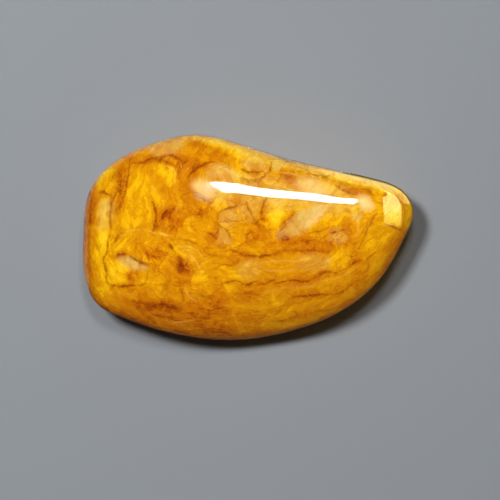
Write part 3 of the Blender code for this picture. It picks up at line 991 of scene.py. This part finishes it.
def marking_place(tree, given):
    """Where in the plan each point looks for its markings, and how much of them it shows."""
    position = result(tree, "GeometryNodeInputPosition")
    x, y, z = split(position)
    run = maths("MAXIMUM", maths("SUBTRACT", GIRDLE_HEIGHT, z), 0.0) * given["Depth run"]
    upper = result(tree, "ShaderNodeCombineXYZ", {"X": x + run, "Y": y + run})
    lower = vector_maths("MULTIPLY", position, (-1.0, -1.0, 0.0))
    below = maths("LESS_THAN", z, NO_MARKS)
    place = result(tree, "ShaderNodeMix", {0: below, 4: upper, 5: lower}, 1, data_type="VECTOR")
    waves = noise(position, maths("DIVIDE", 1.0, given["Wander size"]), output="Color")
    stray = vector_maths("SCALE", around_zero(waves), scale=given["Wander"] * 2.0)
    stray = vector_maths("MULTIPLY", stray, (1.0, 1.0, 0.0))
    shown = maths("MAXIMUM", ramp(z, NO_MARKS, SIDE_MARKS), ramp(z, BASE_MARKS, NO_MARKS, 1.0, 0.0))
    return vector_maths("ADD", place, stray), shown


def markings_tree():
    """Lays the drawn lines and patches, painted light and shade among them, onto the stone as
    attributes for its material.
    """
    tree, given = new_group("Jasper markings", "GeometryNodeTree", [
        ("Geometry", "Geometry"), *((name, "Object") for name in (*LINE_KINDS, *PATCH_KINDS)),
        ("Wander", "Float", 0.1 * MM), ("Wander size", "Float", MM), ("Depth run", "Float", 0.5),
        ("Material", "Material"),
    ], [("Geometry", "Geometry")])
    place, shown = marking_place(tree, given)
    stone = given["Geometry"]

    def keep(name, value, kind="FLOAT"):
        return result(tree, "GeometryNodeStoreNamedAttribute",
                      {"Geometry": stone, "Name": name, "Value": value}, data_type=kind,
                      domain="POINT")

    def fields(name, group):
        guide = result(tree, "GeometryNodeObjectInfo", {"Object": given[name]}, "Geometry")
        return group_node(tree, group, {"Guide": guide, "Place": place})

    line_field, patch_field = line_field_tree(), patch_field_tree()
    for name, (word, _lines) in LINE_KINDS.items():
        field = fields(name, line_field)
        stone = keep(word + "_way", field["Way"], "FLOAT_VECTOR")
        stone = keep(word + "_distance", field["Distance"])
        stone = keep(word + "_size", field["Size"])
        stone = keep(word + "_strength", field["Strength"] * shown)
    for name, (word, _patches) in PATCH_KINDS.items():
        stone = keep(word, fields(name, patch_field)["Field"] * shown)
    stone = result(tree, "GeometryNodeRealizeInstances", {0: stone})
    stone = result(tree, "GeometryNodeSetMaterial",
                   {"Geometry": stone, "Material": given["Material"]})
    add_node(tree, "NodeGroupOutput", {"Geometry": stone})
    return tree


def line_mask_group():
    """Shader group: a drawn line's core and the stain beside it, as masks."""
    tree, given = new_group("Line mask", "ShaderNodeTree", [
        ("Way", "Vector"), ("Distance", "Float"), ("Size", "Float"), ("Strength", "Float"),
        ("Shake", "Vector"), ("Ragged", "Float"), ("Mesh step", "Float", 0.14),
        ("Stain width", "Float", 4.0),
    ], [("Core", "Float"), ("Stain", "Float")])
    way = vector_maths("ADD", given["Way"], given["Shake"])
    coarse = given["Distance"] - given["Mesh step"]
    distance = maths("MAXIMUM", vector_maths("LENGTH", way), coarse)
    size = given["Size"] * ramp(given["Ragged"], *RAGGED_WIDTH, "LINEAR")
    share = distance / (size + 0.01)
    core = ramp(share, *CORE_EDGE) * ramp(given["Ragged"], *RAGGED_STRENGTH)
    stain = ramp(share / given["Stain width"], 0.0, 1.0, 1.0, 0.0)
    add_node(tree, "NodeGroupOutput",
             {"Core": core * given["Strength"], "Stain": stain * given["Strength"]})
    return tree


def patch_mask_group():
    """Shader group: a drawn patch with a torn border, as a mask."""
    tree, given = new_group(
        "Patch mask", "ShaderNodeTree",
        [("Field", "Float"), ("Torn", "Float"), ("Tear", "Float", 0.5)], [("Mask", "Float")])
    tear = (given["Torn"] - 0.5) * given["Tear"] * ramp(given["Field"], *TEAR_BORDER)
    mask = ramp(given["Field"] + tear, 0.0, 1.0, kind="LINEAR")
    add_node(tree, "NodeGroupOutput", {"Mask": mask})
    return tree


def bedding(place):
    """A height whose level lines are the stone's layers, in millimetres."""
    x, y, z = split(place)
    along = x - LONG_RIM_MIDDLE
    broad_rim = x + BROAD_RIM - y * y * BROAD_RIM_CURVE
    long_rim = y + LONG_RIM - along * along * LONG_RIM_CURVE
    layers = maths("SMOOTH_MIN", broad_rim, long_rim, RIMS_MEET)
    layers = layers + (z - THICKNESS / MM) * LAYER_DIP
    broad, small = noise(place, *BROAD_WAVES), noise(place, *SMALL_WAVES)
    broad_shift = (broad - 0.5) * ramp(layers, *BROAD_SHIFT)
    return layers + broad_shift + (small - 0.5) * SMALL_SHIFT


def attribute(tree, name, output="Fac"):
    """A value that the markings tree left on the stone."""
    return result(tree, "ShaderNodeAttribute", (), output, attribute_type="GEOMETRY",
                  attribute_name=name)


def mix_colour(share, under, over):
    """One colour laid over another."""
    return result(share.tree, "ShaderNodeMix", {0: share, 6: under, 7: over}, 2,
                  data_type="RGBA", blend_type="MIX", clamp_factor=True)


def fragments(place, broken):
    """Healed fragments: a chance value for each, and the thin joints between them."""
    waves = noise(place, *FRAGMENT_WAVES, output="Color")
    bent = vector_maths("MULTIPLY_ADD", waves, (FRAGMENT_BEND,) * 3, place)
    inputs = {"Vector": bent, "Scale": FRAGMENT_SCALE}
    cells = result(place.tree, "ShaderNodeTexVoronoi", inputs, "Color", feature="F1")
    chance = result(place.tree, "ShaderNodeSeparateColor", {0: cells})
    joint = result(place.tree, "ShaderNodeTexVoronoi", inputs, "Distance",
                   feature="DISTANCE_TO_EDGE")
    return (chance - 0.5) * broken, ramp(joint, 0.0, JOINT_WIDTH, 1.0, 0.0) * broken


def strokes(place, layers, spacing, shift, gate_scale):
    """Short strokes along the layers, where a coarse noise lets them through."""
    wave = maths("PINGPONG", layers * (1 / spacing) + shift, 0.5)
    gate = noise(place, gate_scale, 2.0, 0.6)
    return ramp(wave, 0.0, STROKE_WIDTH, 1.0, 0.0) * ramp(gate, *STROKE_GATE)


def jasper_tone(place, grain, golden, brown, broken, stain):
    """How light the stone is, from 0 in umber to 1 in yellow, with painted light and shade from the
    rim fields.
    """
    layers = bedding(place)
    chance, joint = fragments(place, broken)
    shifted = layers + chance * FRAGMENT_SHIFT
    tone = grain * GRAIN_TONE + (MIDDLE_TONE - GRAIN_TONE / 2)
    for scale, detail, roughness, distortion, change, start, sharp, weight in TONE_PATTERNS:
        if change is None:
            pattern = noise(place, scale, detail, roughness, distortion)
        else:
            near = vector_maths("SCALE", place, scale=scale)
            pattern = noise(near, 1.0, detail, roughness, distortion, shifted * change + start)
        if sharp:
            pattern = ramp(pattern, *sharp)
        tone += (pattern - 0.5) * weight
    for spacing, shift, gate_scale, weight in STROKES:
        tone += strokes(place, layers, spacing, shift, gate_scale) * weight
    # The golden and brown fields shift the tone; on the rims this is painted light and shade.
    for shade, weight in ((chance, CHANCE_TONE), (joint, JOINT_TONE), (golden, GOLDEN_AND_LIT_TONE),
                          (brown, BROWN_AND_SHADED_TONE)):
        tone += shade * weight
    return maths("MULTIPLY_ADD", stain, STAIN_TONE, tone, clamp=True)


def colour_ramp(tone, stops):
    """A colour ramp over the tone."""
    node = add_node(tone.tree, "ShaderNodeValToRGB", {0: tone})
    node.color_ramp.interpolation = "EASE"
    while len(node.color_ramp.elements) < len(stops):
        node.color_ramp.elements.new(0.5)
    for element, (place, colour) in zip(node.color_ramp.elements, stops):
        element.position = place
        element.color = colour
    return Value(node.outputs[0])


def new_material(name):
    """A material with its node tree."""
    material = bpy.data.materials.new(name)
    material.use_nodes = True
    return material, material.node_tree


def jasper_material(colours):
    """Polished ochre jasper: clouds, layered fibres, seams, threads and pale patches, with painted
    light, shade and glows in some fields.
    """
    material, tree = new_material("polished_jasper")
    place = result(tree, "ShaderNodeMapping", {
        "Vector": result(tree, "ShaderNodeTexCoord", (), "Object"), "Scale": (1 / MM,) * 3})
    ragged, torn = noise(place, *RAGGED_WAVES), noise(place, *TORN_WAVES)
    grain = noise(place, *GRAIN)
    shake = around_zero(noise(place, *SHAKE_WAVES, output="Color"))
    shake = vector_maths("MULTIPLY", shake, (SHAKE, SHAKE, 0.0))

    line_mask, patch_mask = line_mask_group(), patch_mask_group()
    seam, thread = (
        group_node(tree, line_mask, {
            "Way": attribute(tree, word + "_way", "Vector"),
            "Distance": attribute(tree, word + "_distance"),
            "Size": attribute(tree, word + "_size"),
            "Strength": attribute(tree, word + "_strength"),
            "Ragged": edge, "Shake": shake, "Stain width": stain_width,
        })
        for word, edge, stain_width in (("seam", ragged, SEAM_STAIN),
                                        ("thread", torn, THREAD_STAIN))
    )
    # Masks of the golden and brown fields, painted light and shade among them, and of the pale
    # patches with their painted glows.
    golden, brown, pale = (
        group_node(tree, patch_mask, {"Field": attribute(tree, word), "Torn": torn,
                                      "Tear": tear})["Mask"]
        for word, tear in (("golden", GOLDEN_TEAR), ("brown", BROWN_TEAR), ("pale", PALE_TEAR))
    )
    tone = jasper_tone(place, grain, golden, brown, attribute(tree, "broken"), seam["Stain"])
    # Hazy spots: a hazier polish, and a pale painted glow over the colour.
    haze = attribute(tree, "haze")
    colour = colour_ramp(tone, [(stop, getattr(colours, name)) for stop, name in TONE_COLOURS])
    # Pale patches (some of them painted glows and a painted reflection), the hazy spots' painted
    # glow, threads and seams.
    for share, over in ((pale * ramp(tone, *PALE_COVER), colours.pale),
                        (haze * HAZE_GLOW_COVER, colours.mist_and_glow),
                        (thread["Core"] * THREAD_COVER, colours.thread),
                        (seam["Core"] * SEAM_COVER, colours.seam)):
        colour = mix_colour(share, colour, over)
    bump = result(tree, "ShaderNodeBump", {"Strength": BREAK_STRENGTH, "Distance": BREAK_DEPTH,
                                           "Height": grain * GRAIN_BREAK - seam["Core"]})
    roughness = ramp(haze, 0.0, 1.0, CLEAR_ROUGHNESS, HAZY_ROUGHNESS) + grain * GRAIN_ROUGHNESS
    set_inputs(tree.nodes["Principled BSDF"], {
        "Base Color": colour, "Roughness": roughness, "Normal": bump, "IOR": colours.refraction,
        "Subsurface Weight": GLOW, "Subsurface Radius": GLOW_REACH,
        "Subsurface Scale": colours.depth_of_glow, "Coat Weight": 1.0,
        "Coat Roughness": colours.polish, "Coat IOR": colours.refraction,
    })
    return material


def plain_mesh(piece):
    """Turns the piece into what its modifiers make of it, and takes them off."""
    graph = bpy.context.evaluated_depsgraph_get()
    made = bpy.data.meshes.new_from_object(
        piece.evaluated_get(graph), preserve_all_data_layers=True, depsgraph=graph
    )
    piece.modifiers.clear()
    piece.data = made


class JASPER_OT_stone(bpy.types.Operator):
    """Make the polished stone, with its markings laid on"""

    bl_idname = "jasper.stone"
    bl_label = "Polished stone"
    bl_options = {"REGISTER", "UNDO"}

    def execute(self, context):
        settings = context.scene.jasper_stone
        stone = bpy.data.objects.new("polished_stone", stone_mesh("polished_stone", settings.grid))
        context.scene.collection.objects.link(stone)
        guides = {}
        for kinds, make_guide in ((LINE_KINDS, line_guide), (PATCH_KINDS, patch_guide)):
            for name, (word, marks) in kinds.items():
                guides[name] = make_guide(word + "_guide", marks)
        values = {
            **guides, "Wander": settings.wander, "Wander size": settings.wander_size,
            "Depth run": settings.depth_run,
            "Material": jasper_material(context.scene.jasper_colours),
        }
        modifier = stone.modifiers.new("Markings", "NODES")
        modifier.node_group = markings_tree()
        for socket in modifier.node_group.interface.items_tree:
            if socket.item_type == "SOCKET" and socket.name in values:
                modifier[socket.identifier] = values[socket.name]
        plain_mesh(stone)
        for guide in guides.values():
            bpy.data.objects.remove(guide)
        if "seam_way" not in stone.data.attributes:
            raise RuntimeError("the markings weren't laid onto the stone")
        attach(stone, "root")
        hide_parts("jasper_stone")
        return {"FINISHED"}


def stage_object(name, corners, material):
    """A flat face of the stage."""
    mesh = bpy.data.meshes.new(name)
    mesh.from_pydata([tuple(corner) for corner in corners], [], [tuple(range(len(corners)))])
    mesh.materials.append(material)
    flat = bpy.data.objects.new(name, mesh)
    bpy.context.scene.collection.objects.link(flat)
    return flat


def light_panel(name, corners, colour, strength):
    """A flat lit panel that only reflections and surfaces see, not the camera."""
    material, tree = new_material(name)
    tree.nodes.clear()
    glow = result(tree, "ShaderNodeEmission", {"Color": colour, "Strength": strength})
    add_node(tree, "ShaderNodeOutputMaterial", {"Surface": glow})
    panel = stage_object(name, corners, material)
    panel.visible_camera = False
    panel.visible_shadow = False
    return panel


def mirrored_panel(name, corners, colour, strength):
    """A lit panel that only the polish mirrors."""
    panel = light_panel(name, corners, colour, strength)
    panel.visible_diffuse = False
    panel.data.materials[0].cycles.emission_sampling = "NONE"
    return panel


def facing_corners(azimuth, lean, distance, rows):
    """Corners on a plane that faces the stone, each by its way to the side and up it.

    The azimuth, and the lean from straight above, say in degrees where the plane lies.
    """
    azimuth, lean = math.radians(azimuth), math.radians(lean)
    out = Vector((math.sin(lean) * math.cos(azimuth), math.sin(lean) * math.sin(azimuth),
                  math.cos(lean)))
    side = Vector((math.sin(azimuth), -math.cos(azimuth), 0.0))
    up = side.cross(out)
    return [(out * distance + side * u + up * v) * MM for u, v in rows]


def square(half):
    """The corners of a square of this half size."""
    return (-half, -half), (half, -half), (half, half), (-half, half)


def table_corners(height, points):
    """Corners at one height above the table's top, in millimetres."""
    return [(x * MM, y * MM, height * MM) for x, y in points]


WHITE = (1.0, 1.0, 1.0, 1.0)
SIDE_COLOUR = (0.9, 1.0, 0.4, 1.0)

# The stretch of table that the polish mirrors on the lit side of the stone, and its brighter
# part near the tip: points, heights above the table's top, colours.
SHEEN_POINTS = (
    (-150, -39), (9, 0.75), (9, 9.6), (12.7, 8.8), (16.1, 7.1), (17.9, 4.3), (60, 20), (150, 52),
    (150, 250), (-150, 250),
)
NEAR_SHEEN_POINTS = (
    (8.6, 9.8), (7.4, 13.4), (16, 34), (26, 70), (60, 110), (110, 110), (60, 20),
    (17.9, 4.3), (16.1, 7.1), (12.7, 8.8),
)
SHEEN_HEIGHT, NEAR_SHEEN_HEIGHT = -0.5, -0.4
SHEEN_COLOUR, NEAR_SHEEN_COLOUR = (0.93, 0.97, 1.0, 1.0), (1.0, 0.8, 0.28, 1.0)
NEAR_SHEEN_SHARE = 5.6
# The strip light above the stone and behind it: azimuth, lean from straight above and distance,
# and its corners on the plane there, to the side and up.
STRIP_PLACE = (90.8, 26.1, 200)
STRIP_ROWS = ((-38.8, -8.6), (112.1, -12.0), (102.7, 23.5), (-29.4, 12.4))
# The side light and its low wing: on an upright plane beyond the tip, above the table.
SIDE_PLACE = (17.9, 90, 230)
SIDE_ROWS = (
    (-150, 2), (-85, 4), (-47, 16), (-26, 26), (1, 34), (55, 50), (117, 34), (145, 12), (172, 3),
    (168, 60), (154, 165), (152, 192), (102, 208), (42, 204), (-5, 189), (-57, 149), (-83, 128),
    (-92, 80), (-112, 48), (-150, 24),
)
WING_ROWS = ((-420, 2), (-150, 2), (-150, 24), (-420, 24))
WING_SHARE = 0.35
# The side light fades and warms from one Y to the other.
SIDE_FADE_FROM, SIDE_FADE_TO = 152 * MM, -114 * MM
SIDE_FADE = (
    (0.0, SIDE_COLOUR), (0.35, SIDE_COLOUR), (0.62, (0.72, 0.8, 0.17, 1.0)),
    (0.95, (0.26, 0.28, 0.05, 1.0)),
)
# Soft square lights: azimuth, lean, distance, half size, colour and share of the key light.
SOFT_LIGHTS = {
    "key_light": (140, 27, 300, 26, WHITE, 1.25),
    "back_light": (84, 22, 300, 26, WHITE, 0.45),
    "stone_light": (-45, 36, 250, 200, (1.0, 0.93, 0.8, 1.0), 0.0195),
    "rim_light": (70, 66, 250, 90, WHITE, 0.02),
    "flank_light": (-35, 68, 250, 70, (1.0, 0.8, 0.45, 1.0), 0.01),
}
# The soft lights that only the stone takes.
STONE_LIGHTS = ("stone_light", "rim_light", "flank_light")
# The table's half size in millimetres and its finish, and the colour of the air.
TABLE_HALF, TABLE_ROUGHNESS, TABLE_GLOSS = 600, 0.9, 0.2
AIR_COLOUR = (0.9, 0.95, 1.0, 1.0)
# The camera's sensor width in millimetres, and its place over the stone.
SENSOR_WIDTH = 36.0
CAMERA_X, CAMERA_Y = 0.135 * MM, -1.05 * MM


class JASPER_OT_stage(bpy.types.Operator):
    """Make the table, the lights and the camera"""

    bl_idname = "jasper.stage"
    bl_label = "Table, lights and camera"
    bl_options = {"REGISTER", "UNDO"}

    def execute(self, context):
        scene, settings = context.scene, context.scene.jasper_stage
        material, tree = new_material("plain_table")
        set_inputs(tree.nodes["Principled BSDF"], {
            "Base Color": settings.table, "Roughness": TABLE_ROUGHNESS,
            "Specular IOR Level": TABLE_GLOSS})
        table = stage_object("table", table_corners(0, square(TABLE_HALF)), material)
        table.visible_glossy = False

        mirrored_panel("table_sheen", table_corners(SHEEN_HEIGHT, SHEEN_POINTS), SHEEN_COLOUR,
                       settings.sheen)
        mirrored_panel("near_sheen", table_corners(NEAR_SHEEN_HEIGHT, NEAR_SHEEN_POINTS),
                       NEAR_SHEEN_COLOUR, settings.sheen * NEAR_SHEEN_SHARE)
        mirrored_panel("strip_light", facing_corners(*STRIP_PLACE, STRIP_ROWS), WHITE,
                       settings.strip_light)
        side = mirrored_panel("side_light", facing_corners(*SIDE_PLACE, SIDE_ROWS), WHITE,
                              settings.side_light)
        tree = side.data.materials[0].node_tree
        place = split(result(tree, "ShaderNodeTexCoord", (), "Object"))
        along = ramp(place[1], SIDE_FADE_FROM, SIDE_FADE_TO, kind="LINEAR")
        set_inputs(tree.nodes["Emission"], {"Color": colour_ramp(along, SIDE_FADE)})
        mirrored_panel("side_wing", facing_corners(*SIDE_PLACE, WING_ROWS), SIDE_COLOUR,
                       settings.side_light * WING_SHARE)

        stone_only = bpy.data.collections.new("stone_only")
        stone_only.objects.link(bpy.data.objects["polished_stone"])
        for name, (azimuth, lean, distance, half, colour, share) in SOFT_LIGHTS.items():
            corners = facing_corners(azimuth, lean, distance, square(half))
            soft = light_panel(name, corners, colour, settings.key_light * share)
            soft.visible_glossy = False
            if name in STONE_LIGHTS:
                soft.light_linking.receiver_collection = stone_only

        world = bpy.data.worlds.new("soft_air")
        world.use_nodes = True
        set_inputs(world.node_tree.nodes["Background"],
                   {"Color": AIR_COLOUR, "Strength": settings.fill})
        scene.world = world
        scene.view_settings.view_transform = "Standard"

        camera_data = bpy.data.cameras.new("camera")
        camera_data.lens = settings.lens
        camera_data.sensor_width = SENSOR_WIDTH
        camera_data.clip_start = 10 * MM
        camera = bpy.data.objects.new("camera", camera_data)
        scene.collection.objects.link(camera)
        distance = settings.frame_width * settings.lens / SENSOR_WIDTH
        camera.location = (CAMERA_X, CAMERA_Y, GIRDLE_HEIGHT + distance)
        scene.camera = camera
        return {"FINISHED"}


class JASPER_PT_sidebar(bpy.types.Panel):
    """The stone's and the stage's buttons and settings"""

    bl_idname = "JASPER_PT_sidebar"
    bl_label = "Polished jasper stone"
    bl_space_type = "VIEW_3D"
    bl_region_type = "UI"
    bl_category = "Jasper"

    def draw(self, context):
        scene = context.scene
        for operator, groups in (
            (JASPER_OT_stone, (scene.jasper_stone, scene.jasper_colours)),
            (JASPER_OT_stage, (scene.jasper_stage,)),
        ):
            box = self.layout.box()
            box.operator(operator.bl_idname)
            for group in groups:
                for name in group.bl_rna.properties.keys():
                    if name not in ("rna_type", "name"):
                        box.prop(group, name)


SETTINGS = {"jasper_stone": StoneSettings, "jasper_colours": ColourSettings,
            "jasper_stage": StageSettings}
CLASSES = (*SETTINGS.values(), JASPER_OT_stone, JASPER_OT_stage, JASPER_PT_sidebar)


def register():
    for cls in CLASSES:
        bpy.utils.register_class(cls)
    for name, group in SETTINGS.items():
        setattr(bpy.types.Scene, name, PointerProperty(type=group))


def unregister():
    for name in SETTINGS:
        delattr(bpy.types.Scene, name)
    for cls in reversed(CLASSES):
        bpy.utils.unregister_class(cls)


def main():
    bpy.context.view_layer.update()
    register()
    bpy.ops.jasper.stone()
    bpy.ops.jasper.stage()


if __name__ == "__main__":
    main()
